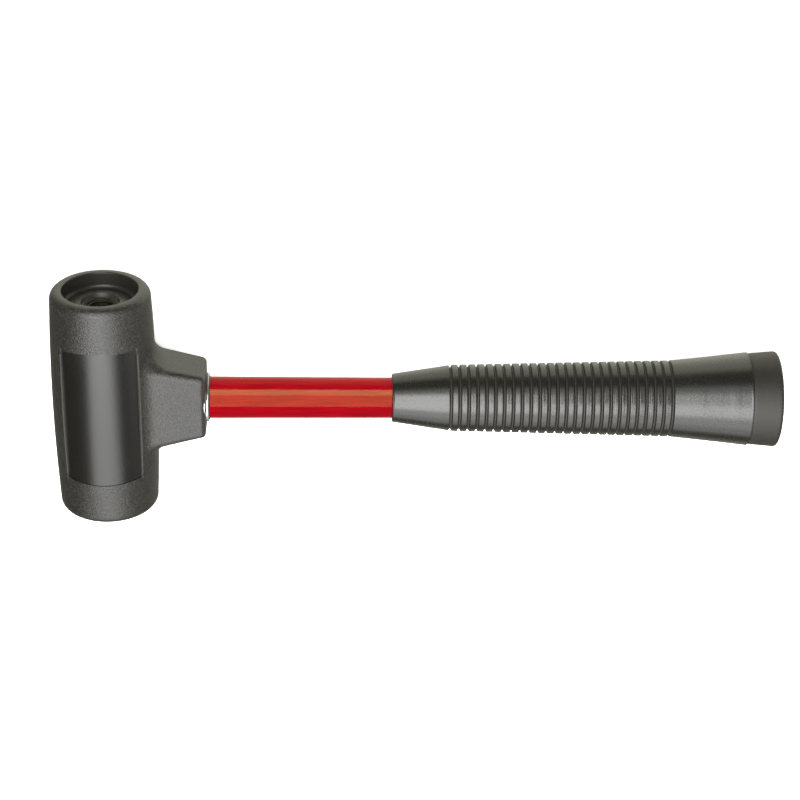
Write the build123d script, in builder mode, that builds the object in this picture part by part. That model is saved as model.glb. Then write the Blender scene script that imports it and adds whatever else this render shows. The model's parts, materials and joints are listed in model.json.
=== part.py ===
from build123d import *
import math
import os

# Dead blow mallet with a moulded head for screw-in faces, a round rod handle and a ribbed grip.
# It lies on one cheek of the head: the handle runs along +X, the head's own axis along Y and the
# cheeks face +Z and -Z. The origin is under the middle of the whole mallet, on the surface below it.

os.makedirs("parts", exist_ok=True)

# Driving dimensions, in millimetres. Handle stations are distances from the head's axis.
overall_length = 318.0
bond_gap = 0.03           # radial room of a glued, pressed or moulded-round joint
running_gap = 0.3         # room around the pieces that move
cutter_margin = 2.0       # how far a cutting shape runs past the surface it cuts

# Moulded head
head_length = 105.2
barrel_radius = 22.88     # at the waist of the crowned barrel
barrel_crown = 1.39       # how much smaller the radius is at the two ends
rim_round_wanted = 3.6    # kept under a share of the rim's width
cup_radius = 16.4
cup_depth = 7.7
cup_edge_round = 0.5
cup_floor_round = 1.6     # large enough to leave the wall clear above the raised seat
seat_mouth_radius = 8.45  # seat in the middle of the cup, whose floor rises towards it
seat_floor_radius = 7.8
seat_depth = 1.8

# Smooth recessed panel on each cheek
panel_half_angle = 47.5   # degrees either side of the cheek's middle
panel_length = 64.6
panel_depth = 0.83        # below the waist of the barrel
panel_corner_round = 1.6
panel_end_drop = 1.24     # how much its bowed ends fall back at the corners
bead_width = 0.75
bead_height = 0.22        # above the barrel beside it
bead_edge_round = 0.1

# Neck of the head, which tapers towards the handle
neck_reach = 44.2
neck_root = 8.0           # station of the neck's hidden inner end
neck_side_cover = 4.1     # urethane over the socket, along the head's axis
neck_cheek_cover = 0.6    # the same, towards the cheeks
neck_height_slope = 0.235
neck_depth_slope = 0.078
neck_end_corner = 2.6
neck_root_corner = 4.0
neck_blend = 9.5
neck_end_round = 2.4

# Steel canister inside the head
canister_radius = 16.0
canister_wall = 2.0
plug_thickness = 12.3
plug_boss_radius = 7.2    # boss that fills the hole in the cup's floor
cup_web = 2.6             # urethane between the canister and the cup
thread_hole_radius = 5.1
thread_hole_depth = 10.0
thread_mouth_chamfer = 0.7

# Steel shot in the canister
shot_per_bore = 3.0 / 14.0     # shot radius over the canister's bore radius
shot_spacing = 0.06            # room between two neighbouring balls
shot_fill = 0.82               # share of the chamber's length that a row takes up
rows_per_layer = (2, 3, 4, 3)  # from the bottom of the heap upwards

# Handle socket and its glue
socket_wall = 1.15
glue_thickness = 0.27     # between the rod and the socket's bore
socket_stand_out = 1.3    # how far its mouth stands out of the neck
socket_mouth_chamfer = 0.25
glue_bead_length = 0.45
glue_bead_width = 0.45

# Handle rod
rod_head_radius = 9.18
rod_taper = 0.23          # how much thinner the rod is under the grip
rod_end_clearance = 2.0   # from the canister to the rod's inner end
rod_butt_depth = 8.0      # how far the rod reaches into the end cap
rod_end_chamfer = 0.8

# Ribbed grip sleeve, with its thicknesses over the rod
grip_start = 125.5
grip_mouth_wall = 1.7
grip_shoulder_wall = 5.25
grip_shoulder_length = 23.6
grip_rib_wall_first = 5.65
grip_rib_wall_last = 7.95
grip_joint_wall = 11.65
grip_flare_length = 34.0
grip_flare_bow = 0.08
grip_mouth_round = 0.6
groove_pitch = 3.856
groove_width = 1.3
groove_depth = 1.15
first_groove = 25.5       # from the sleeve's mouth

# End cap
cap_length = 13.1
cap_joint_step = 0.55     # how far the cap lies in from the sleeve at their joint
cap_spread = 1.2          # how much wider the cap is at its end
cap_end_round = 1.3

# Places that follow from these
cheek_contact_radius = barrel_radius - barrel_crown * (panel_length / head_length) ** 2
head_x = barrel_radius - overall_length / 2
head_z = cheek_contact_radius
rim_width = barrel_radius - barrel_crown - cup_radius
rim_round = min(rim_round_wanted, 0.72 * rim_width)
panel_floor_radius = barrel_radius - panel_depth
canister_bore = canister_radius - canister_wall
web_face = head_length / 2 - cup_depth
plug_face = web_face - cup_web
chamber_end = plug_face - plug_thickness
shot_radius = canister_bore * shot_per_bore
shot_pitch = 2 * shot_radius + shot_spacing
shot_per_row = int(2 * chamber_end * shot_fill / shot_pitch)
socket_end = neck_reach + socket_stand_out
socket_bore = rod_head_radius + glue_thickness
socket_radius = socket_bore + socket_wall
neck_end_half_height = socket_radius + neck_side_cover
neck_end_half_depth = socket_radius + neck_cheek_cover
rod_start = canister_radius + rod_end_clearance
butt = overall_length - barrel_radius
grip_end = butt - cap_length
rod_end = grip_end + rod_butt_depth
rod_grip_radius = rod_head_radius - rod_taper
grip_mouth_radius = rod_grip_radius + grip_mouth_wall
grip_shoulder_radius = rod_grip_radius + grip_shoulder_wall
grip_rib_radius_first = rod_grip_radius + grip_rib_wall_first
grip_rib_radius_last = rod_grip_radius + grip_rib_wall_last
grip_joint_radius = rod_grip_radius + grip_joint_wall
cap_joint_radius = grip_joint_radius - cap_joint_step
cap_end_radius = cap_joint_radius + cap_spread
groove_zone = grip_end - grip_flare_length - grip_start - first_groove
groove_count = int(groove_zone / groove_pitch) + 1

head_centre = (head_x, 0, head_z)
head_axis = Axis(head_centre, (0, 1, 0))
handle_axis = Axis(head_centre, (1, 0, 0))
level = Plane(origin=head_centre, x_dir=(1, 0, 0), z_dir=(0, 0, 1))


def across_handle(station):
    """Plane square to the handle: its x runs along the head's axis, its y upwards."""
    return Plane(origin=(head_x + station, 0, head_z), x_dir=(0, 1, 0), z_dir=(1, 0, 0))


def barrel_radius_at(y):
    """Radius of the crowned barrel at a distance from its middle."""
    return barrel_radius - barrel_crown * (2 * y / head_length) ** 2


# ---- Moulded head: crowned barrel, tapered neck, two cups, two cheek panels ----

rim_y = head_length / 2
rim_radius = barrel_radius_at(rim_y)
with BuildPart() as barrel:
    with BuildSketch(level):
        with BuildLine():
            Polyline((rim_radius, -rim_y), (0, -rim_y), (0, rim_y), (rim_radius, rim_y))
            ThreePointArc((rim_radius, rim_y), (barrel_radius, 0), (rim_radius, -rim_y))
        make_face()
    revolve(axis=head_axis)

neck_length = neck_reach - neck_root
neck_root_half_height = neck_end_half_height + neck_height_slope * neck_length
neck_root_half_depth = neck_end_half_depth + neck_depth_slope * neck_length
with BuildPart() as neck:
    with BuildSketch(across_handle(neck_root)):
        RectangleRounded(2 * neck_root_half_height, 2 * neck_root_half_depth, neck_root_corner)
    with BuildSketch(across_handle(neck_reach)):
        RectangleRounded(2 * neck_end_half_height, 2 * neck_end_half_depth, neck_end_corner)
    loft(ruled=True)

cheek_sweep = Axis(head_centre, (0, -1, 0))    # turns from the handle's side up over the cheek
cutter_radius = barrel_radius + cutter_margin
with BuildPart() as panel_recess:
    with BuildSketch(level.rotated((0, panel_half_angle - 90, 0))):
        with Locations(((panel_floor_radius + cutter_radius) / 2, 0)):
            Rectangle(cutter_radius - panel_floor_radius, panel_length)
    revolve(axis=cheek_sweep, revolution_arc=2 * panel_half_angle)
    half_chord = barrel_radius * math.sin(math.radians(panel_half_angle))
    end_radius = (half_chord ** 2 + panel_end_drop ** 2) / (2 * panel_end_drop)
    with BuildSketch(level) as panel_outline:
        Rectangle(2 * half_chord, panel_length)
        for side in (1, -1):
            with Locations((0, side * (panel_length / 2 - end_radius))):
                Circle(end_radius, mode=Mode.INTERSECT)
        fillet(panel_outline.vertices(), radius=panel_corner_round)
    extrude(amount=cutter_radius, mode=Mode.INTERSECT)

# A low bead stands along the two long edges of each panel
bead_angle = math.degrees(bead_width / barrel_radius)
bead_y = panel_length / 2 - panel_end_drop - panel_corner_round
bead_root = panel_floor_radius - bead_height
bead_top = barrel_radius + bead_height
bead_end = barrel_radius_at(bead_y) + bead_height
with BuildPart() as panel_beads:
    for start_angle in (panel_half_angle, bead_angle - panel_half_angle):
        with BuildSketch(level.rotated((0, start_angle - 90, 0))) as bead_section:
            with BuildLine():
                Polyline((bead_end, -bead_y), (bead_root, -bead_y), (bead_root, bead_y), (bead_end, bead_y))
                ThreePointArc((bead_end, bead_y), (bead_top, 0), (bead_end, -bead_y))
            make_face()
        revolve(bead_section.sketch, axis=cheek_sweep, revolution_arc=bead_angle)
    crests = panel_beads.edges().filter_by(GeomType.CIRCLE).group_by(SortBy.LENGTH)[-1]
    fillet(crests, radius=bead_edge_round)

with BuildPart() as cup_cavity:
    with BuildSketch(level):
        with BuildLine():
            Polyline(
                (0, plug_face),
                (plug_boss_radius + bond_gap, plug_face),
                (plug_boss_radius + bond_gap, web_face),
                (seat_floor_radius, web_face),
                (seat_mouth_radius, web_face + seat_depth),
                (cup_radius, web_face),
                (cup_radius, rim_y + cutter_margin),
                (0, rim_y + cutter_margin),
                close=True,
            )
        make_face()
    revolve(axis=head_axis)
    rings = cup_cavity.edges().filter_by(GeomType.CIRCLE)
    cup_rings = rings.filter_by(lambda ring: ring.radius > cup_radius - bond_gap)
    fillet(cup_rings.sort_by(Axis.Y)[0], radius=cup_floor_round)

with BuildPart() as canister_cavity:
    with BuildSketch(level):
        with Locations(((canister_radius + bond_gap) / 2, 0)):
            Rectangle(canister_radius + bond_gap, 2 * plug_face)
    revolve(axis=head_axis)
    with BuildSketch(across_handle(0)):
        Circle(socket_radius + bond_gap)
    extrude(amount=neck_reach + cutter_margin)

with BuildPart() as head_body:
    add(barrel)
    end_rings = head_body.edges().filter_by(GeomType.CIRCLE).group_by(Axis.Y)
    fillet(end_rings[0] + end_rings[-1], radius=rim_round)
    add(neck)
    fillet(head_body.edges(Select.NEW), radius=neck_blend)
    end_face = head_body.faces().sort_by(Axis.X)[-1]
    fillet(end_face.edges(), radius=neck_end_round)
    for side in (0, 180):
        add(panel_recess.part.rotate(handle_axis, side), mode=Mode.SUBTRACT)
        add(panel_beads.part.rotate(handle_axis, side))
    add(cup_cavity, mode=Mode.SUBTRACT)
    mirror(cup_cavity.part, about=Plane.XZ, mode=Mode.SUBTRACT)
    add(canister_cavity, mode=Mode.SUBTRACT)
    cup_mouths = head_body.edges().filter_by(GeomType.CIRCLE).filter_by(
        lambda ring: abs(abs(ring.center().Y) - rim_y) < bond_gap and ring.radius < cup_radius + bond_gap
    )
    fillet(cup_mouths, radius=min(cup_edge_round, rim_width / 8))
head_body.part.label = "head_body"
export_step(head_body.part, "parts/head_body.step")


# ---- Steel canister: a tube with a tapped plug in each end ----

with BuildPart() as canister_tube:
    with BuildSketch(level):
        with Locations((canister_radius - canister_wall / 2, 0)):
            Rectangle(canister_wall, 2 * plug_face)
    revolve(axis=head_axis)
canister_tube.part.label = "canister_tube"
export_step(canister_tube.part, "parts/canister_tube.step")

with BuildPart() as canister_plug_top:
    with BuildSketch(level):
        with BuildLine():
            Polyline(
                (0, chamber_end),
                (canister_bore - bond_gap, chamber_end),
                (canister_bore - bond_gap, plug_face),
                (plug_boss_radius, plug_face),
                (plug_boss_radius, web_face),
                (thread_hole_radius + thread_mouth_chamfer, web_face),
                (thread_hole_radius, web_face - thread_mouth_chamfer),
                (thread_hole_radius, web_face - thread_hole_depth),
                (0, web_face - thread_hole_depth),
                close=True,
            )
        make_face()
    revolve(axis=head_axis)
canister_plug_top.part.label = "canister_plug_top"
export_step(canister_plug_top.part, "parts/canister_plug_top.step")

with BuildPart() as canister_plug_bottom:
    mirror(canister_plug_top.part, about=Plane.XZ)
canister_plug_bottom.part.label = "canister_plug_bottom"
export_step(canister_plug_bottom.part, "parts/canister_plug_bottom.step")


# ---- Steel shot: a heap of rows, each layer resting in the hollows of the one below ----

reach = canister_bore - shot_radius - running_gap
heap_bottom = -math.sqrt(reach ** 2 - (shot_pitch / 2) ** 2)
layer_rise = shot_pitch / math.sqrt(2)
row_number = 0
for layer, row_count in enumerate(rows_per_layer):
    balls = shot_per_row - layer % 2
    for row in range(row_count):
        row_number += 1
        row_name = f"shot_row_{row_number:02d}"
        across = (row - (row_count - 1) / 2) * shot_pitch
        row_plane = Plane(
            origin=(head_x + across, 0, head_z + heap_bottom + layer * layer_rise),
            x_dir=(0, 1, 0),
            z_dir=(0, 0, 1),
        )
        with BuildPart(row_plane) as shot_row:
            with GridLocations(shot_pitch, 1, balls, 1):
                Sphere(shot_radius)
        shot_row.part.label = row_name
        export_step(shot_row.part, f"parts/{row_name}.step")


# ---- Handle socket: a steel tube seated on the canister, its mouth proud of the neck ----

with BuildPart() as handle_socket:
    with BuildSketch(across_handle(0)):
        Circle(socket_radius)
        Circle(socket_bore, mode=Mode.SUBTRACT)
    extrude(amount=socket_end)
    mouth = handle_socket.edges().filter_by(GeomType.CIRCLE).group_by(Axis.X)[-1]
    chamfer(mouth, length=socket_mouth_chamfer)
    with BuildSketch(level):
        with Locations(((canister_radius + bond_gap) / 2, 0)):
            Rectangle(canister_radius + bond_gap, 2 * plug_face)
    revolve(axis=head_axis, mode=Mode.SUBTRACT)
handle_socket.part.label = "handle_socket"
export_step(handle_socket.part, "parts/handle_socket.step")


# ---- Handle rod, its glue and the bead squeezed out at the socket's mouth ----

with BuildPart() as handle_rod:
    with BuildSketch(level):
        with BuildLine():
            Polyline(
                (rod_start, 0),
                (rod_start, rod_head_radius - rod_end_chamfer),
                (rod_start + rod_end_chamfer, rod_head_radius),
                (socket_end, rod_head_radius),
                (grip_start, rod_grip_radius),
                (rod_end - rod_end_chamfer, rod_grip_radius),
                (rod_end, rod_grip_radius - rod_end_chamfer),
                (rod_end, 0),
                close=True,
            )
        make_face()
    revolve(axis=handle_axis)
handle_rod.part.label = "handle_rod"
export_step(handle_rod.part, "parts/handle_rod.step")

glue_inner = rod_head_radius + bond_gap
glue_outer = socket_bore - bond_gap
bead_start = socket_end + bond_gap
with BuildPart() as rod_glue:
    with BuildSketch(level):
        with BuildLine():
            Polyline(
                (rod_start + rod_end_chamfer, glue_inner),
                (bead_start + glue_bead_length, glue_inner),
                (bead_start + glue_bead_length / 2, glue_inner + 0.8 * glue_bead_width),
                (bead_start, glue_inner + glue_bead_width),
                (bead_start, glue_outer),
                (rod_start + rod_end_chamfer, glue_outer),
                close=True,
            )
        make_face()
    revolve(axis=handle_axis)
rod_glue.part.label = "rod_glue"
export_step(rod_glue.part, "parts/rod_glue.step")


# ---- Ribbed grip sleeve ----

shoulder_end = grip_start + grip_shoulder_length
flare_start = grip_end - grip_flare_length
flare_middle = (flare_start + grip_end) / 2
flare_middle_radius = (grip_rib_radius_last + grip_joint_radius) / 2 - grip_flare_bow
sleeve_bore = rod_grip_radius + bond_gap
with BuildPart() as grip_sleeve:
    with BuildSketch(level):
        with BuildLine():
            Polyline(
                (grip_end, grip_joint_radius),
                (grip_end, sleeve_bore),
                (grip_start, sleeve_bore),
                (grip_start, grip_mouth_radius),
                (shoulder_end, grip_shoulder_radius),
                (grip_start + first_groove, grip_rib_radius_first),
                (flare_start, grip_rib_radius_last),
            )
            ThreePointArc(
                (flare_start, grip_rib_radius_last),
                (flare_middle, flare_middle_radius),
                (grip_end, grip_joint_radius),
            )
        make_face()
    revolve(axis=handle_axis)
    mouth_rings = grip_sleeve.edges().filter_by(GeomType.CIRCLE).group_by(Axis.X)[0]
    fillet(mouth_rings.sort_by(SortBy.RADIUS)[-1], radius=grip_mouth_round)
    with BuildSketch(level):
        for groove in range(groove_count):
            station = grip_start + first_groove + groove * groove_pitch
            share = groove * groove_pitch / groove_zone
            rib_radius = grip_rib_radius_first + share * (grip_rib_radius_last - grip_rib_radius_first)
            with Locations((station, rib_radius)):
                Rectangle(groove_width, 2 * groove_depth)
    revolve(axis=handle_axis, mode=Mode.SUBTRACT)
grip_sleeve.part.label = "grip_sleeve"
export_step(grip_sleeve.part, "parts/grip_sleeve.step")


# ---- End cap, closed over the butt of the rod ----

with BuildPart() as end_cap:
    with BuildSketch(level):
        with BuildLine():
            Polyline(
                (grip_end, sleeve_bore),
                (grip_end, cap_joint_radius),
                (butt, cap_end_radius),
                (butt, 0),
                (rod_end + bond_gap, 0),
                (rod_end + bond_gap, sleeve_bore),
                close=True,
            )
        make_face()
    revolve(axis=handle_axis)
    rim = end_cap.edges().filter_by(GeomType.CIRCLE).group_by(Axis.X)[-1]
    fillet(rim, radius=cap_end_round)
end_cap.part.label = "end_cap"
export_step(end_cap.part, "parts/end_cap.step")
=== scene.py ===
import json
import math

import bpy
import numpy as np
from bpy.props import FloatProperty, FloatVectorProperty, IntProperty, PointerProperty
from mathutils import Euler, Matrix, Vector


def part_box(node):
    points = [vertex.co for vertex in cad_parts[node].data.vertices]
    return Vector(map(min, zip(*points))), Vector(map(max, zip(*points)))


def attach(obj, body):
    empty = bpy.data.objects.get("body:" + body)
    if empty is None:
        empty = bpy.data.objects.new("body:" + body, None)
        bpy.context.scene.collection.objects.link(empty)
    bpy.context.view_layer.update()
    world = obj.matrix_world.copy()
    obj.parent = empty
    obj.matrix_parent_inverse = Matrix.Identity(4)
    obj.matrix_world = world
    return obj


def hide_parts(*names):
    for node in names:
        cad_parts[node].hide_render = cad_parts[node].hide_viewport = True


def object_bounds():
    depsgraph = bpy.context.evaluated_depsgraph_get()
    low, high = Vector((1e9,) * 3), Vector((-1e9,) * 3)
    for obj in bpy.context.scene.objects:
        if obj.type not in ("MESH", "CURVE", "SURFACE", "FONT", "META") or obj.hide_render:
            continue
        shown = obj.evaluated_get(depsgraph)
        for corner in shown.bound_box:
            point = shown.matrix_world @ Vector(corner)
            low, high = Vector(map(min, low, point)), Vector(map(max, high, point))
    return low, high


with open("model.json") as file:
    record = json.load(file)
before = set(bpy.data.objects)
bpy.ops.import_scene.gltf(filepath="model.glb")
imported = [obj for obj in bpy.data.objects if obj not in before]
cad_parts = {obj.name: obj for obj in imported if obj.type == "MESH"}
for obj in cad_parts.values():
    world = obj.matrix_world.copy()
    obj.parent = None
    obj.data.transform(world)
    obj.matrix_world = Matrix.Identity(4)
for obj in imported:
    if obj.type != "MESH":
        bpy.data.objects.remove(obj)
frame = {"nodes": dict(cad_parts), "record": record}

bl_info = {
    "name": "Dead blow mallet",
    "version": (1, 0, 0),
    "blender": (4, 5, 0),
    "location": "3D View > Sidebar > Mallet",
    "description": "Finishes the pieces of a shot-filled mallet and sets its studio",
    "category": "Object",
}

CAD_BOX = [list(corner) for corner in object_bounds()]
MM = 0.001
FULL_TURN = 2 * math.pi
FLARE_BOW = 0.08 * MM                      # how far the sleeve's flare is hollow at its middle
GROOVE_FLOOR_HIGHLIGHT = 0.018, 0.015, 0.010          # lighter brown painted in the sleeve's grooves: a painted highlight on their floors
STRIP_SHARE = 2.4                          # the rod's strip light against the key light
ROOM_TINT = 1.0, 0.98, 0.82                # warm light of the room and of the ground in reflections

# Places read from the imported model
NODES = frame["nodes"]
MOUNTS = {mount["name"]: mount for mount in frame["record"]["mounts"]}
HEAD = Vector(MOUNTS["tip_cup_top"]["pos_m"])
HEAD.y = 0.0
GRIP_LOW, GRIP_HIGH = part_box("grip_sleeve")
CAP_LOW, CAP_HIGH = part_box("end_cap")
ROD_LOW, ROD_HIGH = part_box("handle_rod")
PLUG_LOW, PLUG_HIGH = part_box("canister_plug_top")
SOCKET_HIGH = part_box("handle_socket")[1]
GLUE_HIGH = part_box("rod_glue")[1]
BODY_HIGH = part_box("head_body")[1]
CUP_RADIUS = MOUNTS["tip_cup_top"]["dims"]["r_mm"] * MM
CUP_MIDDLE = MOUNTS["tip_cup_top"]["pos_m"][1]
DRILL_RADIUS = MOUNTS["tip_thread_top"]["dims"]["r_mm"] * MM
DRILL_DEPTH = MOUNTS["tip_thread_top"]["dims"]["length_mm"] * MM

# Places on the head that its finish tells apart: where a zone begins to fade and where it has gone
PANEL_RADIUS = 22.14 * MM, 22.24 * MM     # from the head's axis: the panels' floor lies within
PANEL_END = 32.3 * MM, 32.5 * MM          # from the head's middle, along its axis
BEAD_END = 32.1 * MM, 32.4 * MM
BEAD_TURN = math.radians(46.56)           # from the middle of a cheek panel to the bead along its edge
BEAD_SPREAD = 0.010, 0.020                # half the bead's width, as a turn in radians
SEAT_RADIUS = 8.5 * MM, 13.5 * MM
NECK_START = 24 * MM, 32 * MM             # from the head's axis, along the handle
NECK_END = 38 * MM, 41 * MM


# ---------------------------------------------------------------- settings a user would change

class MalletGripSizes(bpy.types.PropertyGroup):
    """Sizes of the ribbed sleeve, measured along the handle from the sleeve's mouth"""
    shoulder: FloatProperty(name="Shoulder", description="Length of the smooth cone before the ribs",
                            default=23.6 * MM, unit="LENGTH")
    mouth_radius: FloatProperty(name="Mouth radius", description="Radius at the sleeve's mouth",
                                default=10.65 * MM, unit="LENGTH")
    shoulder_radius: FloatProperty(name="Shoulder radius", description="Radius where the cone ends",
                                   default=14.2 * MM, unit="LENGTH")
    first_rib_radius: FloatProperty(name="First rib radius", description="Radius of the first rib",
                                    default=14.6 * MM, unit="LENGTH")
    last_rib_radius: FloatProperty(name="Last rib radius", description="Radius of the last rib",
                                   default=16.88 * MM, unit="LENGTH")
    flare: FloatProperty(name="Flare", description="Length of the smooth flare behind the ribs",
                         default=34.0 * MM, unit="LENGTH")
    first_groove: FloatProperty(name="First groove", description="Middle of the first groove",
                                default=25.5 * MM, unit="LENGTH")
    pitch: FloatProperty(name="Groove pitch", description="From one groove to the next",
                         default=3.856 * MM, unit="LENGTH")
    grooves: IntProperty(name="Grooves", description="How many grooves the sleeve has", default=26)
    groove_mouth: FloatProperty(name="Groove mouth", description="Width of a groove at the ribs' crowns",
                                default=1.5 * MM, unit="LENGTH")
    groove_floor: FloatProperty(name="Groove floor", description="Width of a groove at its bottom",
                                default=0.5 * MM, unit="LENGTH")
    groove_depth: FloatProperty(name="Groove depth", description="Depth of a groove",
                                default=1.05 * MM, unit="LENGTH")


class MalletPlugSizes(bpy.types.PropertyGroup):
    """Sizes of the tapped plugs"""
    boss_radius: FloatProperty(name="Boss radius", description="Radius of the boss round the tapped hole",
                               default=7.2 * MM, unit="LENGTH")
    boss_height: FloatProperty(name="Boss height", description="From the plug's shoulder to the boss's face",
                               default=2.6 * MM, unit="LENGTH")
    mouth_chamfer: FloatProperty(name="Mouth chamfer", description="Chamfer at the mouth of the hole",
                                 default=0.7 * MM, unit="LENGTH")
    thread_pitch: FloatProperty(name="Thread pitch", description="From one turn of the thread to the next",
                                default=1.75 * MM, unit="LENGTH")
    thread_depth: FloatProperty(name="Thread depth", description="How deep the thread is cut",
                                default=0.85 * MM, unit="LENGTH")


class MalletFinish(bpy.types.PropertyGroup):
    """Colours of the finishes"""
    urethane: FloatVectorProperty(name="Urethane", description="Moulded head", subtype="COLOR",
                                  default=(0.0095, 0.0092, 0.0074), min=0, max=1)
    rubber: FloatVectorProperty(name="Grip rubber", description="Ribbed sleeve", subtype="COLOR",
                                default=(0.0088, 0.0088, 0.0066), min=0, max=1)
    cap: FloatVectorProperty(name="Cap rubber", description="Cap on the butt", subtype="COLOR",
                             default=(0.0135, 0.0112, 0.0076), min=0, max=1)
    rod: FloatVectorProperty(name="Rod red", description="Resin of the handle rod", subtype="COLOR",
                             default=(0.24, 0.0019, 0.0066), min=0, max=1)
    steel: FloatVectorProperty(name="Steel", description="Socket and canister", subtype="COLOR",
                               default=(0.56, 0.57, 0.60), min=0, max=1)
    dark_steel: FloatVectorProperty(name="Dark steel", description="Tapped plugs", subtype="COLOR",
                                    default=(0.06, 0.057, 0.045), min=0, max=1)
    glue: FloatVectorProperty(name="Glue", description="Cured glue at the socket's mouth", subtype="COLOR",
                              default=(0.018, 0.014, 0.018), min=0, max=1)


class MalletStudio(bpy.types.PropertyGroup):
    """Camera and lights"""
    distance: FloatProperty(name="Distance", description="From the camera to what it aims at",
                            default=0.9621, unit="LENGTH")
    tilt: FloatProperty(name="Tilt", description="How far the camera leans towards the head's near end",
                        default=math.radians(-28.94), subtype="ANGLE")
    lean: FloatProperty(name="Lean", description="Sideways lean of the camera",
                        default=math.radians(-1.665), subtype="ANGLE")
    roll: FloatProperty(name="Roll", description="Turn of the camera about the upright",
                        default=math.radians(1.093), subtype="ANGLE")
    aim: FloatVectorProperty(name="Aim", description="What the camera looks at, from the mallet's middle",
                             default=(-7.0 * MM, -1.13 * MM, 0.0), subtype="TRANSLATION")
    lens: FloatProperty(name="Lens", description="Focal length on a 36 mm sensor, in millimetres",
                        default=98.37)
    key: FloatProperty(name="Key light", description="Brightness of the overhead softbox", default=8.5)
    front: FloatProperty(name="Front light", description="Brightness of the softbox on the near side",
                         default=3.5)
    low_front: FloatProperty(name="Low front light", description="Brightness of the near side's lower half",
                             default=1.9)
    side: FloatProperty(name="Side fill", description="Brightness of the fill beyond the butt", default=1.3)
    back: FloatProperty(name="Back light", description="Brightness behind the overhead softbox", default=1.6)
    room: FloatProperty(name="Room", description="Brightness of the room's walls", default=0.1)
    ground: FloatProperty(name="Ground", description="Brightness of the far ground in reflections",
                          default=1.6)
    near_ground: FloatProperty(name="Near ground", description="Brightness of the near ground in reflections",
                               default=0.5)
    floor_glow: FloatProperty(name="Floor glow", description="Light that comes up through the floor",
                              default=0.7)


# ---------------------------------------------------------------- surfaces

def lattice_mesh(name, points, wrap_rows=False, pole_start=False, pole_end=False):
    """Mesh over a grid of points, rows x columns, whose columns always wrap round.
    A pole closes an end by a fan to the middle of its ring; wrap_rows joins the last ring to the first."""
    rows, columns = points.shape[:2]
    index = np.arange(rows * columns).reshape(rows, columns)
    last = rows if wrap_rows else rows - 1
    here = index[:last]
    there = index[(np.arange(last) + 1) % rows]
    quads = np.stack([here, np.roll(here, -1, 1), np.roll(there, -1, 1), there], -1).reshape(-1, 4)
    vertices = points.reshape(-1, 3)
    faces = quads.tolist()
    for wanted, ring, flip in ((pole_start, index[0], True), (pole_end, index[-1], False)):
        if wanted:
            pole = len(vertices)
            vertices = np.vstack([vertices, vertices[ring].mean(0)])
            fan = np.stack([ring, np.roll(ring, -1), np.full(columns, pole)], -1)
            faces += (fan[:, ::-1] if flip else fan).tolist()
    mesh = bpy.data.meshes.new(name)
    mesh.from_pydata(vertices, [], faces)
    mesh.shade_smooth()
    mesh.update()
    return mesh


def place_piece(name, mesh, material, body="mallet", replaced=()):
    """Puts a finished mesh in the scene, riding on its body."""
    piece = bpy.data.objects.new(name, mesh)
    bpy.context.scene.collection.objects.link(piece)
    mesh.materials.append(material)
    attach(piece, body)
    if replaced:
        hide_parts(*replaced)
    return piece


def about_handle(stations, radii, segments, ripple=None):
    """A profile turned about the handle: (x, radius) becomes (x, r cos t, r sin t) for t over a full turn.
    ripple, when given, is added to the radius and depends on both row and turn."""
    turn = np.arange(segments) / segments * FULL_TURN
    radius = radii[:, None] + (0.0 if ripple is None else ripple)
    x = stations[:, None] + 0 * turn
    radius = radius + 0 * turn
    return np.stack([x, HEAD.y + radius * np.cos(turn), HEAD.z + radius * np.sin(turn)], -1)


def about_head(heights, radii, segments, ripple=None):
    """A profile turned about the head's axis: (y, radius) becomes (r sin t, y, r cos t)."""
    turn = np.arange(segments) / segments * FULL_TURN
    radius = radii[:, None] + 0 * turn + (0.0 if ripple is None else ripple)
    y = heights[:, None] + 0 * turn
    return np.stack([HEAD.x + radius * np.sin(turn), y, HEAD.z + radius * np.cos(turn)], -1)


def quarter_round(centre_x, centre_r, radius, start, end, steps=7):
    """Points of an arc: centre plus radius times (cos a, sin a) for a from start to end, in degrees."""
    angle = np.radians(np.linspace(start, end, steps))
    return np.stack([centre_x + radius * np.cos(angle), centre_r + radius * np.sin(angle)], -1)


def rough_line(turn, waves, seed):
    """Ragged line round a turn, about -1 to 1: sines of rising frequency with fixed random phases, summed."""
    random = np.random.default_rng(seed)
    counts = np.array(waves)[:, None]
    phase = random.uniform(0, FULL_TURN, (len(waves), 1))
    weight = random.uniform(0.5, 1.0, (len(waves), 1)) / np.sqrt(counts)
    return (weight * np.sin(counts * turn + phase)).sum(0) / weight.sum()


# ---------------------------------------------------------------- finishes

def new_material(name, look):
    """Material with a Principled shader; look sets the shader's own sockets."""
    material = bpy.data.materials.new(name)
    material.use_nodes = True
    tree = material.node_tree
    shader = tree.nodes["Principled BSDF"]
    for socket, value in look.items():
        shader.inputs[socket].default_value = value
    material.diffuse_color = (*look["Base Color"][:3], 1)
    return material, tree, shader


def add_node(tree, kind, **settings):
    """Adds a node; settings are its attributes, or its input sockets when written in_0, in_1 and so on."""
    node = tree.nodes.new(kind)
    for key, value in settings.items():
        if key.startswith("in_"):
            put(tree, value, node.inputs[int(key[3:])])
        else:
            setattr(node, key, value)
    return node


def put(tree, value, socket):
    """Feeds a socket with another node's output or with a plain value."""
    if isinstance(value, bpy.types.NodeSocket):
        tree.links.new(value, socket)
    else:
        socket.default_value = value


def maths(tree, operation, first, second=0.0, third=0.0, clamp=False):
    """Result of a Math node."""
    return add_node(tree, "ShaderNodeMath", operation=operation, use_clamp=clamp,
                    in_0=first, in_1=second, in_2=third).outputs[0]


def times(tree, first, second):
    """Product of two values."""
    return maths(tree, "MULTIPLY", first, second)


def size_of(tree, value):
    """A value without its sign."""
    return maths(tree, "ABSOLUTE", value)


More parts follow.
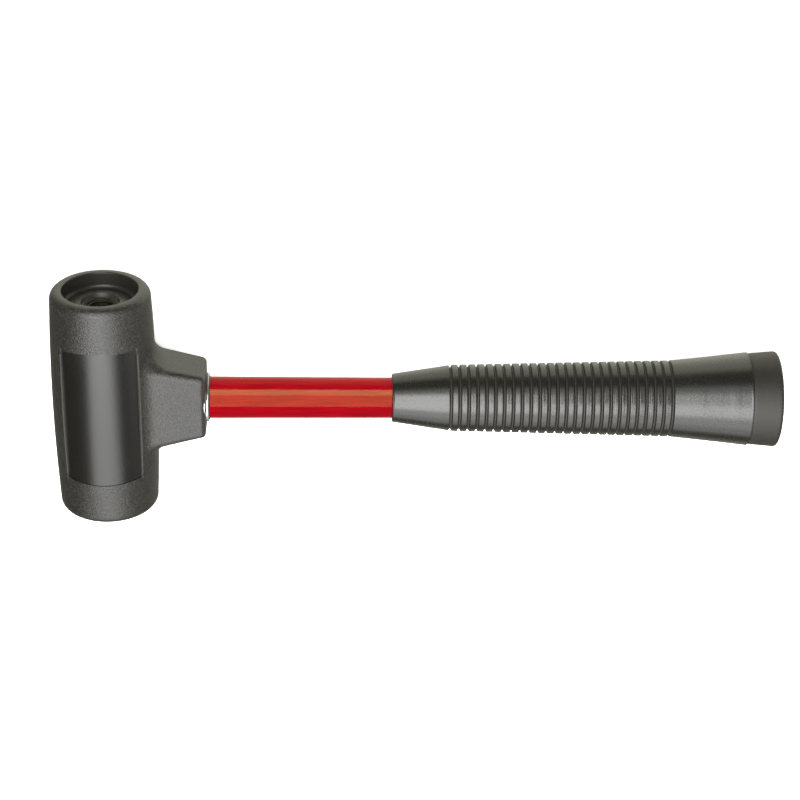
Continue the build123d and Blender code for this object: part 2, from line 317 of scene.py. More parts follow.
def ramp(tree, value, low, high, start=0.0, end=1.0):
    """Smooth step of a value: start below low, end above high."""
    node = add_node(tree, "ShaderNodeMapRange", interpolation_type="SMOOTHSTEP", in_0=value, in_1=low,
                    in_2=high, in_3=start, in_4=end)
    return node.outputs[0]


def within(tree, value, limits):
    """1 below the first limit, fading to 0 at the second."""
    return ramp(tree, value, *limits, 1.0, 0.0)


def blend_colour(tree, share, first, second):
    """Mix of two colours."""
    node = tree.nodes.new("ShaderNodeMix")
    node.data_type = "RGBA"
    put(tree, share, node.inputs[0])
    for socket, value in ((node.inputs[6], first), (node.inputs[7], second)):
        put(tree, (*value, 1) if isinstance(value, tuple) and len(value) == 3 else value, socket)
    return node.outputs[2]


def tint(colour, share):
    """A colour made lighter or darker by a share."""
    return tuple(min(1.0, c * share) for c in colour)


def shader_group(name, inputs, outputs):
    """Empty shader node group with named float inputs and outputs, and its input and output nodes."""
    group = bpy.data.node_groups.new(name, "ShaderNodeTree")
    for label, kind, default in inputs:
        socket = group.interface.new_socket(label, in_out="INPUT", socket_type=kind)
        if default is not None:
            socket.default_value = default
    for label, kind in outputs:
        group.interface.new_socket(label, in_out="OUTPUT", socket_type=kind)
    return group, group.nodes.new("NodeGroupInput"), group.nodes.new("NodeGroupOutput")


def build_grain_group():
    """Moulded grain: height of rounded pebbles, from a cell pattern and two noises, and a mask of flecks."""
    group, given, result = shader_group(
        "Moulded grain",
        (("Vector", "NodeSocketVector", None), ("Pebble scale", "NodeSocketFloat", 1500.0),
         ("Fine share", "NodeSocketFloat", 0.3)),
        (("Height", "NodeSocketFloat"), ("Fleck", "NodeSocketFloat")),
    )
    where = given.outputs["Vector"]
    scale = given.outputs["Pebble scale"]
    cells = add_node(group, "ShaderNodeTexVoronoi", feature="SMOOTH_F1", in_0=where, in_2=scale)
    cells.inputs["Smoothness"].default_value = 0.6
    pebble = maths(group, "SUBTRACT", 1.0, cells.outputs["Distance"])
    fine = add_node(group, "ShaderNodeTexNoise", in_0=where, in_2=times(group, scale, 2.3))
    fine.inputs["Detail"].default_value = 3.0
    broad = add_node(group, "ShaderNodeTexNoise", in_0=where, in_2=times(group, scale, 0.35))
    share = given.outputs["Fine share"]
    height = maths(group, "MULTIPLY_ADD", fine.outputs[0], share, times(group, pebble, 0.7))
    height = maths(group, "MULTIPLY_ADD", broad.outputs[0], 0.5, height)
    group.links.new(height, result.inputs["Height"])
    specks = add_node(group, "ShaderNodeTexNoise", in_0=where, in_2=scale)
    specks.inputs["Detail"].default_value = 1.0
    group.links.new(ramp(group, specks.outputs[0], 0.45, 0.64), result.inputs["Fleck"])
    return group


def build_dust_group():
    """Handling film: large soft patches broken by a finer noise, as a mask from 0 to 1."""
    group, given, result = shader_group(
        "Handling film",
        (("Vector", "NodeSocketVector", None), ("Patch scale", "NodeSocketFloat", 60.0),
         ("Cover", "NodeSocketFloat", 0.5)),
        (("Mask", "NodeSocketFloat"),),
    )
    where = given.outputs["Vector"]
    scale = given.outputs["Patch scale"]
    patches = add_node(group, "ShaderNodeTexNoise", in_0=where, in_2=scale)
    specks = add_node(group, "ShaderNodeTexNoise", in_0=where, in_2=times(group, scale, 14.0))
    specks.inputs["Detail"].default_value = 4.0
    mixed = maths(group, "MULTIPLY_ADD", specks.outputs[0], 0.5, times(group, patches.outputs[0], 0.5))
    edge = maths(group, "SUBTRACT", 0.85, times(group, given.outputs["Cover"], 0.7))
    group.links.new(ramp(group, mixed, edge, maths(group, "ADD", edge, 0.25)), result.inputs["Mask"])
    return group


def build_edge_group():
    """Edge wear: how sharply the surface turns, from its pointiness, as a mask from 0 to 1."""
    group, given, result = shader_group(
        "Edge wear",
        (("Start", "NodeSocketFloat", 0.52), ("Full", "NodeSocketFloat", 0.6)),
        (("Mask", "NodeSocketFloat"),),
    )
    geometry = group.nodes.new("ShaderNodeNewGeometry")
    mask = add_node(group, "ShaderNodeMapRange", in_0=geometry.outputs["Pointiness"],
                    in_1=given.outputs["Start"], in_2=given.outputs["Full"])
    mask.clamp = True
    group.links.new(mask.outputs[0], result.inputs["Mask"])
    return group


GROUPS = {"Moulded grain": build_grain_group, "Handling film": build_dust_group,
          "Edge wear": build_edge_group}


def shared(tree, name, **values):
    """Places a shared group in a material, with its own values. The group is built when it is first used."""
    node = tree.nodes.new("ShaderNodeGroup")
    node.node_tree = bpy.data.node_groups.get(name) or GROUPS[name]()
    for label, value in values.items():
        put(tree, value, node.inputs[label.replace("_", " ")])
    return node


def centred(tree, centre):
    """Object coordinates measured from a centre."""
    coordinates = tree.nodes.new("ShaderNodeTexCoord")
    mapping = add_node(tree, "ShaderNodeMapping", in_0=coordinates.outputs["Object"])
    mapping.inputs["Location"].default_value = (-centre[0], -centre[1], -centre[2])
    return mapping.outputs[0]


def bump(tree, shader, height, distance, strength=1.0):
    """Bump from a height, in metres at height 1."""
    node = tree.nodes.new("ShaderNodeBump")
    node.inputs["Distance"].default_value = distance
    put(tree, strength, node.inputs["Strength"])
    tree.links.new(height, node.inputs["Height"])
    tree.links.new(node.outputs[0], shader.inputs["Normal"])


def head_zones(tree, where):
    """Masks from 0 to 1 of the head's zones, by the place on the head and the way the surface faces."""
    x, y, z = add_node(tree, "ShaderNodeSeparateXYZ", in_0=where).outputs
    flat = add_node(tree, "ShaderNodeCombineXYZ", in_0=x, in_2=z)
    from_axis = add_node(tree, "ShaderNodeVectorMath", operation="LENGTH", in_0=flat.outputs[0]).outputs[1]
    along = size_of(tree, y)
    coordinates = tree.nodes.new("ShaderNodeTexCoord")
    facing = add_node(tree, "ShaderNodeSeparateXYZ", in_0=coordinates.outputs["Normal"])
    around = maths(tree, "ARCTAN2", size_of(tree, x), size_of(tree, z))
    from_bead = size_of(tree, maths(tree, "SUBTRACT", size_of(tree, around), BEAD_TURN))
    cup = times(tree, within(tree, from_axis, (CUP_RADIUS, CUP_RADIUS + 0.6 * MM)),
                ramp(tree, along, CUP_MIDDLE - 6.4 * MM, CUP_MIDDLE - 5.6 * MM))
    return {
        "panel": times(tree, within(tree, from_axis, PANEL_RADIUS), within(tree, along, PANEL_END)),
        "bead": times(tree, within(tree, from_bead, BEAD_SPREAD), within(tree, along, BEAD_END)),
        "rim": ramp(tree, along, BODY_HIGH.y - 2.2 * MM, BODY_HIGH.y - 0.8 * MM),
        "cup": cup,
        "seat": times(tree, cup, within(tree, from_axis, SEAT_RADIUS)),
        "flank": times(tree, ramp(tree, size_of(tree, facing.outputs["Y"]), 0.5, 0.85),
                       ramp(tree, x, *NECK_START)),
        "collar": times(tree, ramp(tree, facing.outputs["X"], 0.6, 0.95), ramp(tree, x, *NECK_END)),
    }


def urethane_finish(colour):
    """Pebbled urethane, smooth on the cheek panels, the rims, the cups and the flanks of the neck, with
    painted light in the cups and painted highlights on the beads and the collar.
    """
    material, tree, shader = new_material("Head urethane", {
        "Base Color": (*colour, 1), "Roughness": 0.42, "IOR": 1.5, "Specular IOR Level": 0.55})
    where = centred(tree, HEAD)
    zones = head_zones(tree, where)
    smooth = zones["panel"]
    for zone in ("rim", "cup", "flank"):
        smooth = maths(tree, "MAXIMUM", smooth, zones[zone])

    grain = shared(tree, "Moulded grain", Vector=where, Pebble_scale=2000.0, Fine_share=0.35)
    film = shared(tree, "Handling film", Vector=where, Patch_scale=55.0, Cover=0.45).outputs["Mask"]
    wear = shared(tree, "Edge wear", Start=0.53, Full=0.62).outputs["Mask"]
    fleck = times(tree, grain.outputs["Fleck"], maths(tree, "SUBTRACT", 1.0, zones["panel"]))
    base = blend_colour(tree, fleck, tint(colour, 0.45), tint(colour, 3.2))
    # The handling film and the worn edges are real marks. The lighter cup and the lighter seat round its hole
    # are painted light inside the cup. The lighter beads and the lighter collar are painted highlights.
    for mask, share, lighter in ((film, 0.45, 1.7), (wear, 0.4, 2.6), (zones["cup"], 0.8, 2.0),
                                 (zones["seat"], 0.8, 4.6), (zones["bead"], 0.9, 6.0),
                                 (zones["collar"], 0.8, 5.0)):
        base = blend_colour(tree, times(tree, mask, share), base, tint(colour, lighter))
    tree.links.new(base, shader.inputs["Base Color"])
    rough = maths(tree, "MULTIPLY_ADD", fleck, 0.06, 0.40)
    rough = maths(tree, "SUBTRACT", rough, times(tree, zones["panel"], 0.09))
    rough = maths(tree, "MULTIPLY_ADD", film, 0.06, rough)
    tree.links.new(rough, shader.inputs["Roughness"])
    strength = ramp(tree, smooth, 0.0, 1.0, 1.0, 0.12)
    bump(tree, shader, grain.outputs["Height"], 0.19 * MM, strength)
    return material


def rubber_finish(name, colour, roughness, grain_scale, grain_depth, film_share, specular):
    """Satin moulded rubber with a fine grain, a patchy handling film, paler worn edges and a painted
    highlight of lighter brown in the grooves.
    A mesh marks its grooves by the point attribute "groove", which reads 0 where a mesh has none."""
    material, tree, shader = new_material(name, {
        "Base Color": (*colour, 1), "Roughness": roughness, "IOR": 1.5, "Specular IOR Level": specular})
    where = centred(tree, HEAD)
    grain = shared(tree, "Moulded grain", Vector=where, Pebble_scale=grain_scale, Fine_share=0.5)
    fleck = grain.outputs["Fleck"]
    film = shared(tree, "Handling film", Vector=where, Patch_scale=70.0, Cover=0.5).outputs["Mask"]
    wear = shared(tree, "Edge wear", Start=0.54, Full=0.66).outputs["Mask"]
    base = blend_colour(tree, times(tree, fleck, 0.5), tint(colour, 0.8), tint(colour, 1.3))
    base = blend_colour(tree, times(tree, film, film_share), base, tint(colour, 1.9))
    base = blend_colour(tree, times(tree, wear, 0.4), base, tint(colour, 2.4))
    # painted highlight: the grooves, most of all their floors, get a lighter brown
    groove = add_node(tree, "ShaderNodeAttribute", attribute_name="groove").outputs["Fac"]
    base = blend_colour(tree, groove, base, GROOVE_FLOOR_HIGHLIGHT)
    tree.links.new(base, shader.inputs["Base Color"])
    rough = maths(tree, "MULTIPLY_ADD", film, 0.10, roughness)
    rough = maths(tree, "MULTIPLY_ADD", fleck, 0.05, rough)
    rough = maths(tree, "MULTIPLY_ADD", groove, 0.35, rough)
    tree.links.new(rough, shader.inputs["Roughness"])
    bump(tree, shader, grain.outputs["Height"], grain_depth)
    return material


def rod_finish(colour):
    """Glossy resin over glass fibres that run along the rod, with a slightly uneven skin."""
    material, tree, shader = new_material("Rod resin", {
        "Base Color": (*colour, 1), "Roughness": 0.09, "IOR": 1.15, "Specular IOR Level": 0.65,
        "Specular Tint": (0.62, 1.0, 0.36, 1)})
    coordinates = tree.nodes.new("ShaderNodeTexCoord")
    stretched = add_node(tree, "ShaderNodeMapping", in_0=coordinates.outputs["Object"])
    stretched.inputs["Scale"].default_value = (0.04, 1.0, 1.0)
    fibres = add_node(tree, "ShaderNodeTexNoise", in_0=stretched.outputs[0], in_2=1600.0)
    fibres.inputs["Detail"].default_value = 4.0
    film = shared(tree, "Handling film", Vector=coordinates.outputs["Object"], Patch_scale=110.0, Cover=0.4)
    streaks = ramp(tree, fibres.outputs[0], 0.35, 0.68)
    base = blend_colour(tree, streaks, tint(colour, 0.82), tint(colour, 1.12))
    base = blend_colour(tree, times(tree, film.outputs["Mask"], 0.18), base, tint(colour, 0.7))
    tree.links.new(base, shader.inputs["Base Color"])
    rough = maths(tree, "MULTIPLY_ADD", film.outputs["Mask"], 0.05, 0.07)
    tree.links.new(rough, shader.inputs["Roughness"])
    waves = add_node(tree, "ShaderNodeTexNoise", in_0=coordinates.outputs["Object"], in_2=140.0)
    height = maths(tree, "MULTIPLY_ADD", fibres.outputs[0], 0.03, waves.outputs[0])
    bump(tree, shader, height, 0.12 * MM)
    return material


def steel_finish(name, colour, roughness, turning_axis):
    """Machined steel: fine rings round the axis it was turned about, with a patchy dull film."""
    material, tree, shader = new_material(name, {
        "Base Color": (*colour, 1), "Metallic": 1.0, "Roughness": roughness})
    where = centred(tree, HEAD)
    rings = add_node(tree, "ShaderNodeTexWave", bands_direction=turning_axis, in_0=where, in_1=900.0,
                     in_2=2.0)
    film = shared(tree, "Handling film", Vector=where, Patch_scale=160.0, Cover=0.55)
    base = blend_colour(tree, times(tree, film.outputs["Mask"], 0.5), tuple(colour), tint(colour, 0.6))
    tree.links.new(base, shader.inputs["Base Color"])
    rough = maths(tree, "MULTIPLY_ADD", film.outputs["Mask"], 0.2, roughness)
    tree.links.new(rough, shader.inputs["Roughness"])
    bump(tree, shader, rings.outputs[1], 0.01 * MM)
    return material


def glue_finish(colour):
    """Dark cured glue with small pits."""
    material, tree, shader = new_material("Cured glue", {"Base Color": (*colour, 1), "Roughness": 0.4})
    where = centred(tree, HEAD)
    pits = add_node(tree, "ShaderNodeTexNoise", in_0=where, in_2=1400.0)
    base = blend_colour(tree, ramp(tree, pits.outputs[0], 0.4, 0.7), tint(colour, 0.7), tint(colour, 2.0))
    tree.links.new(base, shader.inputs["Base Color"])
    bump(tree, shader, pits.outputs[0], 0.08 * MM)
    return material


def floor_finish(glow):
    """Plain pale paper with a very faint tooth, lit from below."""
    material, tree, shader = new_material("Pale floor", {
        "Base Color": (0.92, 0.92, 0.915, 1), "Roughness": 0.9, "Emission Color": (1, 1, 1, 1),
        "Emission Strength": glow})
    coordinates = tree.nodes.new("ShaderNodeTexCoord")
    tooth = add_node(tree, "ShaderNodeTexNoise", in_0=coordinates.outputs["Object"], in_2=400.0)
    base = blend_colour(tree, tooth.outputs[0], (0.915, 0.915, 0.91), (0.925, 0.925, 0.92))
    tree.links.new(base, shader.inputs["Base Color"])
    return material


# ---------------------------------------------------------------- pieces

class MALLET_OT_head(bpy.types.Operator):
    """Gives the moulded head its pebbled urethane"""
    bl_idname = "mallet.head"
    bl_label = "Head"

    def execute(self, context):
        finish = context.scene.mallet_finish
        dress("head_body", urethane_finish(finish.urethane))
        return {"FINISHED"}


def dress(node, material):
    """Puts one material on a CAD node."""
    mesh = NODES[node].data
    mesh.materials.clear()
    mesh.materials.append(material)


class MALLET_OT_flash(bpy.types.Operator):
    """Adds the ragged skin of urethane that creeps out along the socket at the neck's end"""
    bl_idname = "mallet.flash"
    bl_label = "Moulding flash"

    def execute(self, context):
        # A thin ring on the socket's outside. Its free edge wanders along the handle by a sum of sines; it is
        # longest and thickest towards the head's upper end, and thin elsewhere.
        segments = 160
        turn = np.arange(segments) / segments * FULL_TURN
        inner = SOCKET_HIGH.y + 0.03 * MM
        root = BODY_HIGH.x - 0.3 * MM
        reach = SOCKET_HIGH.x - 0.25 * MM - BODY_HIGH.x
        bias = 0.5 + 0.5 * np.cos(turn - math.radians(25))
        length = 0.16 + 0.9 * bias ** 3 + 0.35 * rough_line(turn, (3, 7, 13, 23), 4)
        length = reach * np.clip(length, 0.08, 1.0)
        thickness = MM * (0.12 + 0.75 * bias ** 4 + 0.18 * rough_line(turn, (5, 11, 19), 9))
        thickness = np.clip(thickness, 0.08 * MM, None)
        loops = []
        for share, rise in ((0.0, 0.0), (0.0, 1.0), (0.55, 0.85), (0.9, 0.5), (1.0, 0.12), (1.0, 0.0)):
            x = root + share * (BODY_HIGH.x - root + length)
            radius = inner + rise * thickness
            loops.append(np.stack([x, radius * np.cos(turn), HEAD.z + radius * np.sin(turn)], -1))
        mesh = lattice_mesh("moulding_flash", np.array(loops)[::-1], wrap_rows=True)
        material = bpy.data.materials["Head urethane"]
        place_piece("moulding_flash", mesh, material)
        return {"FINISHED"}


class MALLET_OT_socket(bpy.types.Operator):
    """Makes the bright socket and the dark glue bead round the rod"""
    bl_idname = "mallet.socket"
    bl_label = "Socket and glue"

    def execute(self, context):
        finish = context.scene.mallet_finish
        dress("handle_socket", steel_finish("Bright socket", finish.steel, 0.45, "X"))
        segments = 144
        turn = np.arange(segments) / segments * FULL_TURN
        rod_radius = GLUE_HIGH.y - 0.45 * MM
        start = SOCKET_HIGH.x - 0.2 * MM
        crest = 1.0 + 0.35 * rough_line(turn, (4, 9, 17, 29), 11)
        loops = []
        for share, rise in ((0.0, 0.0), (0.0, 1.0), (0.45, 1.0), (0.75, 0.75), (0.95, 0.35), (1.0, 0.0)):
            x = start + share * 0.62 * MM * crest
            radius = rod_radius + rise * 0.42 * MM * crest
            loops.append(np.stack([x, radius * np.cos(turn), HEAD.z + radius * np.sin(turn)], -1))
        mesh = lattice_mesh("glue_bead", np.array(loops)[::-1], wrap_rows=True)
        material = glue_finish(finish.glue)
        dress("rod_glue", material)
        place_piece("glue_bead", mesh, material)
        return {"FINISHED"}


class MALLET_OT_rod(bpy.types.Operator):
    """Makes the round resin rod, with the faint waviness of its skin"""
    bl_idname = "mallet.rod"
    bl_label = "Rod"

    def execute(self, context):
        # Radius along the rod: level in the socket, tapering to the grip, with chamfered ends;
        # a ripple of a few hundredths of a millimetre varies slowly along and round it.
        finish = context.scene.mallet_finish
        segments = 128
        big = ROD_HIGH.y
        small = big - 0.23 * MM
        chamfer = 0.8 * MM
        stations = np.concatenate([
            [ROD_LOW.x, ROD_LOW.x + chamfer], np.linspace(SOCKET_HIGH.x, GRIP_LOW.x, 90),
            np.linspace(GRIP_LOW.x + chamfer, ROD_HIGH.x - chamfer, 30), [ROD_HIGH.x]])
        radii = np.interp(stations, [SOCKET_HIGH.x, GRIP_LOW.x], [big, small])
        radii[[0, -1]] -= chamfer
        turn = np.arange(segments) / segments * FULL_TURN
        u = (stations - ROD_LOW.x)[:, None]
        ripple = 0.006 * MM * (np.sin(90 * u + 2 * turn) + np.sin(210 * u - 3 * turn + 1.0)) - 0.012 * MM
        points = about_handle(stations, radii, segments, ripple)
        mesh = lattice_mesh("rod_skin", points[::-1], pole_start=True, pole_end=True)
        place_piece("rod_skin", mesh, rod_finish(finish.rod), replaced=("handle_rod",))
        return {"FINISHED"}


class MALLET_OT_grip(bpy.types.Operator):
    """Makes the ribbed rubber sleeve with rounded rib edges"""
    bl_idname = "mallet.grip"
    bl_label = "Grip sleeve"

    def execute(self, context):
        sizes = context.scene.mallet_grip
        finish = context.scene.mallet_finish
        length = GRIP_HIGH.x - GRIP_LOW.x
        joint_radius = GRIP_HIGH.y
        bore = ROD_HIGH.y - 0.2 * MM
        fine = sizes.pitch / 18
        ribs_start = sizes.first_groove - sizes.pitch
        ribs_end = sizes.first_groove + sizes.pitch * sizes.grooves
        along = np.concatenate([
            np.linspace(0.6 * MM, ribs_start, 30, endpoint=False),
            np.arange(ribs_start, ribs_end, fine), np.linspace(ribs_end, length - 0.25 * MM, 36)])
        radii = sleeve_radius(along, sizes, length, joint_radius)
        segments = 120
        turn = np.arange(segments) / segments * FULL_TURN
        number = np.round((along - sizes.first_groove) / sizes.pitch)
        wander = np.sin(number * 2.4)[:, None] * np.sin(turn + number[:, None]) * 0.02 * MM
        body = about_handle(GRIP_LOW.x + along, radii, segments, wander - 0.02 * MM)
        mouth = quarter_round(0.6 * MM, radii[0] - 0.6 * MM, 0.6 * MM, 180, 95)
        mouth = about_handle(GRIP_LOW.x + mouth[:, 0], mouth[:, 1], segments)
        joint = quarter_round(length - 0.25 * MM, joint_radius - 0.27 * MM, 0.25 * MM, 85, 0, 5)
        joint = about_handle(GRIP_LOW.x + joint[:, 0], joint[:, 1], segments)
        inside = about_handle(np.array([GRIP_HIGH.x, GRIP_LOW.x]), np.array([bore, bore]), segments)
        points = np.concatenate([mouth, body, joint, inside])
        mesh = lattice_mesh("ribbed_sleeve", points[::-1], wrap_rows=True)
        sunk = np.clip((plain_radius(along, sizes, length, joint_radius) - radii) / sizes.groove_depth, 0, 1)
        sunk = np.concatenate([np.zeros(len(mouth)), sunk, np.zeros(len(joint) + len(inside))])
        marks = mesh.attributes.new("groove", "FLOAT", "POINT")
        marks.data.foreach_set("value", np.repeat(sunk[::-1], segments).astype(np.float32))
        material = rubber_finish("Grip rubber", finish.rubber, 0.24, 2600.0, 0.02 * MM, 0.5, 0.6)
        place_piece("ribbed_sleeve", mesh, material, replaced=("grip_sleeve",))
        return {"FINISHED"}


def plain_radius(along, sizes, length, joint_radius):
    """Radius of the sleeve without its grooves: a straight cone, a slowly rising stretch for the ribs and a
    flare that is a little hollow."""
    flare_start = length - sizes.flare
    body = np.interp(along, [0.0, sizes.shoulder, sizes.first_groove, flare_start, length],
                     [sizes.mouth_radius, sizes.shoulder_radius, sizes.first_rib_radius,
                      sizes.last_rib_radius, joint_radius])
    share = np.clip((along - flare_start) / sizes.flare, 0, 1)
    return body - 4 * FLARE_BOW * share * (1 - share)


def sleeve_radius(along, sizes, length, joint_radius):
    """Radius of the sleeve at distances from its mouth, less the grooves, whose walls are smooth steps from
    crown to floor."""
    body = plain_radius(along, sizes, length, joint_radius)
    number = np.clip(np.round((along - sizes.first_groove) / sizes.pitch), 0, sizes.grooves - 1)
    away = np.abs(along - sizes.first_groove - number * sizes.pitch)
    wall = np.clip((sizes.groove_mouth / 2 - away) / ((sizes.groove_mouth - sizes.groove_floor) / 2), 0, 1)
    return body - sizes.groove_depth * wall * wall * (3 - 2 * wall)


class MALLET_OT_end_cap(bpy.types.Operator):
    """Makes the rubber cap on the butt, with its rounded edges"""
    bl_idname = "mallet.end_cap"
    bl_label = "End cap"

    def execute(self, context):
        finish = context.scene.mallet_finish
        segments = 144
        joint_radius = 20.03 * MM
        outer = CAP_HIGH.y - 0.02 * MM
        edge = 1.3 * MM
        bore = ROD_HIGH.y - 0.2 * MM
        lip = quarter_round(CAP_LOW.x + 0.3 * MM, joint_radius - 0.3 * MM, 0.3 * MM, 180, 95, 5)
        rim = quarter_round(CAP_HIGH.x - edge, outer - edge, edge, 85, 0, 10)
        side_x = np.linspace(CAP_LOW.x + 0.3 * MM, CAP_HIGH.x - edge, 14)
        side_r = np.interp(side_x, [CAP_LOW.x, CAP_HIGH.x - edge], [joint_radius, outer])
        side = np.stack([side_x, side_r], -1)
        dish_r = np.linspace(outer - edge - 0.5 * MM, 1.0 * MM, 12)
        dish_x = CAP_HIGH.x - 0.35 * MM * (1 - (dish_r / outer) ** 2) - 0.02 * MM
        dish = np.stack([dish_x, dish_r], -1)
        inner_end = ROD_HIGH.x + 0.05 * MM
        inside = np.array([[inner_end, 1.0 * MM], [inner_end, bore], [CAP_LOW.x, bore]])
        outline = np.concatenate([lip, side, rim, dish])
        points = about_handle(outline[:, 0], outline[:, 1], segments)
        points = np.concatenate([about_handle(inside[:, 0], inside[:, 1], segments), points])
        shell = lattice_mesh("butt_cap", points[::-1], pole_start=True, pole_end=True)
        material = rubber_finish("Cap rubber", finish.cap, 0.5, 1900.0, 0.035 * MM, 0.7, 0.45)
        place_piece("butt_cap", shell, material, replaced=("end_cap",))
        return {"FINISHED"}


class MALLET_OT_canister(bpy.types.Operator):
    """Finishes the steel canister and cuts the threads in its two plugs"""
    bl_idname = "mallet.canister"
    bl_label = "Canister"

    def execute(self, context):
        finish = context.scene.mallet_finish
        dress("canister_tube", steel_finish("Canister steel", finish.steel, 0.35, "Y"))
        material = steel_finish("Dark plug steel", finish.dark_steel, 0.6, "Y")
        for end, sign in (("top", 1), ("bottom", -1)):
            name = f"tapped_plug_{end}"
            mesh = threaded_plug(name, sign, context.scene.mallet_plug)
            place_piece(name, mesh, material, replaced=(f"canister_plug_{end}",))
        return {"FINISHED"}


def threaded_plug(name, sign, sizes):
    """A round plug with a boss and a screw thread in its blind hole. The hole's radius is the drill's plus
    the larger of two: the mouth's cone, and the thread's depth times a trapezium wave of
    (depth / pitch - turn / full turn), which winds into a helix and dies out near the bottom."""
    segments = 96
    turn = np.arange(segments) / segments * FULL_TURN
    face = PLUG_HIGH.y
    outer = (PLUG_HIGH.x - PLUG_LOW.x) / 2
    edge = 0.2 * MM
    shoulder = face - sizes.boss_height
    hole_depth = DRILL_DEPTH + sizes.mouth_chamfer
    down = np.linspace(0, hole_depth, 84)
    phase = (down[:, None] / sizes.thread_pitch - turn / FULL_TURN) % 1.0
    wave = np.clip(1.6 - 4.0 * np.abs(phase - 0.5), 0, 1)
    wave = wave * np.clip((hole_depth - down) / sizes.thread_pitch, 0, 1)[:, None]
    cone = (sizes.mouth_chamfer - down)[:, None] + 0 * turn
    hole = about_head(face - down, np.full(len(down), DRILL_RADIUS), segments,
                      np.maximum(cone, sizes.thread_depth * wave))
    outline = np.array([
        [PLUG_LOW.y, 1.0 * MM], [PLUG_LOW.y, outer], [shoulder - edge, outer], [shoulder, outer - edge],
        [shoulder, sizes.boss_radius], [face - edge, sizes.boss_radius], [face, sizes.boss_radius - edge]])
    outside = about_head(outline[:, 0], outline[:, 1], segments)
    floor = about_head(np.full(2, face - hole_depth), np.array([DRILL_RADIUS - 0.1 * MM, 0.5 * MM]), segments)
    points = np.concatenate([outside, hole, floor])
    points[..., 1] *= sign
    if sign > 0:
        points = points[:, ::-1]
    return lattice_mesh(name, points, pole_start=True, pole_end=True)


class MALLET_OT_shot(bpy.types.Operator):
    """Gives the loose steel shot its dull finish"""
    bl_idname = "mallet.shot"
    bl_label = "Shot"

    def execute(self, context):
        finish = context.scene.mallet_finish
        material = steel_finish("Shot steel", finish.steel, 0.5, "X")
        for node in sorted(NODES):
            if node.startswith("shot_row_"):
                dress(node, material)
        return {"FINISHED"}


class MALLET_OT_stage(bpy.types.Operator):
    """Sets the pale floor, the soft lights and the camera"""
    bl_idname = "mallet.stage"
    bl_label = "Stage"

    def execute(self, context):
        studio = context.scene.mallet_studio
        set_floor(context, studio)
        set_lights(context, studio)
        set_room(context, studio)
        set_camera(context, studio)
        context.scene.view_settings.view_transform = "Standard"
        return {"FINISHED"}


def set_floor(context, studio):
    """A flat square floor, which isn't seen in glossy reflections."""
    reach = 4.0
    mesh = bpy.data.meshes.new("floor")
    mesh.from_pydata([(-reach, -reach, 0), (reach, -reach, 0), (reach, reach, 0), (-reach, reach, 0)], [],
                     [(0, 1, 2, 3)])
    mesh.materials.append(floor_finish(studio.floor_glow))
    floor = bpy.data.objects.new("floor", mesh)
    floor.visible_glossy = False
    context.scene.collection.objects.link(floor)


def set_lights(context, studio):
    """Softboxes overhead and round the near side. The rod has a strip light of its own in place of some."""
    handle = [NODES["handle_rod"], bpy.data.objects["rod_skin"]]
    for name, corner, along, far, radiance, excluded in (
        ("overhead", (-0.65, -0.45, 1.0), (0.10, -0.45, 1.0), (0.10, 0.85, 1.0), studio.key, ()),
        ("overhead_end", (0.10, -0.45, 1.0), (0.26, -0.45, 1.0), (0.26, 0.17, 1.0), studio.key, ()),
        ("front", (-0.65, -1.0, 0.75), (0.45, -1.0, 0.75), (0.45, -0.47, 0.98), studio.front, handle),
        ("low_front", (-0.65, -1.25, 0.33), (0.45, -1.25, 0.33), (0.45, -1.0, 0.75), studio.low_front,
         handle),
        ("side", (1.0, 0.3, 0.1), (1.0, 0.3, 0.9), (1.0, -0.6, 0.9), studio.side, handle),
        ("back", (-0.65, 0.85, 1.0), (0.3, 0.85, 1.0), (0.3, 1.1, 0.64), studio.back, handle),
    ):
        softbox(context, name, corner, along, far, radiance, excluded=excluded)
    strip = softbox(context, "handle_strip", (-0.65, 0.85, 1.0), (0.65, 0.85, 1.0), (0.65, 1.25, 0.41),
                    STRIP_SHARE * studio.key, only=handle)
    strip.visible_diffuse = False


def set_room(context, studio):
    """A dim room over a bright ground, which dims towards the near side and the left."""
    world = bpy.data.worlds.new("room")
    world.use_nodes = True
    tree = world.node_tree
    back = tree.nodes["Background"]
    back.inputs["Color"].default_value = (*ROOM_TINT, 1)
    direction = tree.nodes.new("ShaderNodeTexCoord")
    x, y, z = add_node(tree, "ShaderNodeSeparateXYZ", in_0=direction.outputs["Generated"]).outputs
    ground = times(tree, ramp(tree, y, -0.45, 0.45, studio.near_ground, studio.ground),
                   ramp(tree, x, -0.9, 0.0, 0.2, 1.0))
    tree.links.new(ramp(tree, z, -0.4, -0.12, ground, studio.room), back.inputs["Strength"])
    context.scene.world = world


def set_camera(context, studio):
    """A camera that leans from upright by the studio's angles and looks at the aim."""
    low, high = (Vector(corner) for corner in CAD_BOX)
    middle = (low + high) / 2
    camera = bpy.data.cameras.new("camera")
    camera.lens = studio.lens
    camera.sensor_width = 36.0
    eye = bpy.data.objects.new("camera", camera)
    eye.rotation_euler = Euler((studio.tilt, studio.lean, studio.roll), "XYZ")
    aim = Vector((middle.x, middle.y, HEAD.z)) + Vector(studio.aim)
    eye.location = aim + eye.rotation_euler.to_matrix() @ Vector((0, 0, studio.distance))
    context.scene.collection.objects.link(eye)
    context.scene.camera = eye


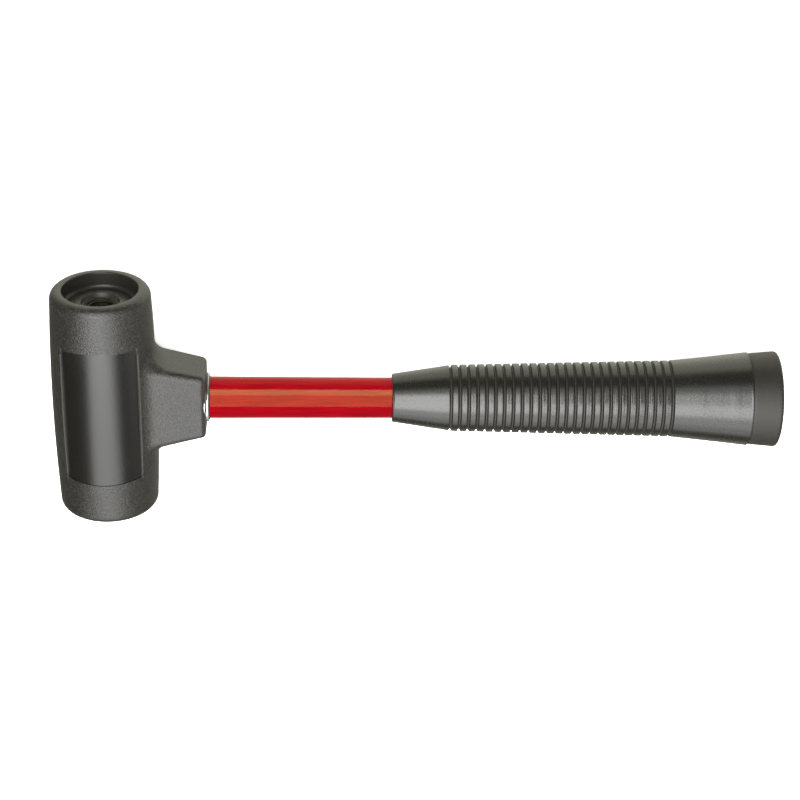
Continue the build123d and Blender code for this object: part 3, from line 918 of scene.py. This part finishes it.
def softbox(context, name, corner, along, far, radiance, only=(), excluded=()):
    """A rectangular soft light with corners at corner, along and far, facing the middle of the mallet.
    only names the pieces it alone lights; excluded names those it leaves out."""
    corner, along, far = Vector(corner), Vector(along), Vector(far)
    across, up = along - corner, far - along
    light = bpy.data.lights.new(name, "AREA")
    light.shape = "RECTANGLE"
    light.size, light.size_y = across.length, up.length
    light.energy = radiance * math.pi * across.length * up.length
    lamp = bpy.data.objects.new(name, light)
    place = (corner + far) / 2
    normal = across.cross(up).normalized()
    if normal.dot(place) < 0:
        across, normal = -across, -normal
    axes = Matrix((across.normalized(), normal.cross(across).normalized(), normal))
    lamp.matrix_world = axes.transposed().to_4x4()
    lamp.location = place
    context.scene.collection.objects.link(lamp)
    if only or excluded:
        chosen = bpy.data.collections.new(f"{name}_receivers")
        for piece in only or excluded:
            chosen.objects.link(piece)
        for entry in chosen.collection_objects:
            entry.light_linking.link_state = "INCLUDE" if only else "EXCLUDE"
        lamp.light_linking.receiver_collection = chosen
    return lamp


class MALLET_PT_panel(bpy.types.Panel):
    """Sidebar panel that lists the pieces, their sizes and colours"""
    bl_label = "Dead blow mallet"
    bl_space_type = "VIEW_3D"
    bl_region_type = "UI"
    bl_category = "Mallet"

    def draw(self, context):
        for step in STEPS:
            self.layout.operator(f"mallet.{step}")
        for setting in SETTINGS:
            group = getattr(context.scene, setting)
            box = self.layout.box()
            for name in group.bl_rna.properties.keys():
                if name not in {"rna_type", "name"}:
                    box.prop(group, name)


STEPS = ("head", "flash", "socket", "rod", "grip", "end_cap", "canister", "shot", "stage")
SETTINGS = {"mallet_grip": MalletGripSizes, "mallet_plug": MalletPlugSizes, "mallet_finish": MalletFinish,
            "mallet_studio": MalletStudio}
CLASSES = (*SETTINGS.values(), MALLET_OT_head, MALLET_OT_flash, MALLET_OT_socket, MALLET_OT_rod,
           MALLET_OT_grip, MALLET_OT_end_cap, MALLET_OT_canister, MALLET_OT_shot, MALLET_OT_stage,
           MALLET_PT_panel)


def register():
    """Registers the classes and the settings they use."""
    for cls in CLASSES:
        bpy.utils.register_class(cls)
    for name, cls in SETTINGS.items():
        setattr(bpy.types.Scene, name, PointerProperty(type=cls))


def unregister():
    """Undoes register."""
    for name in SETTINGS:
        delattr(bpy.types.Scene, name)
    for cls in reversed(CLASSES):
        bpy.utils.unregister_class(cls)


def main():
    """Builds the whole mallet."""
    register()
    for step in STEPS:
        getattr(bpy.ops.mallet, step)()


if __name__ == "__main__":
    main()
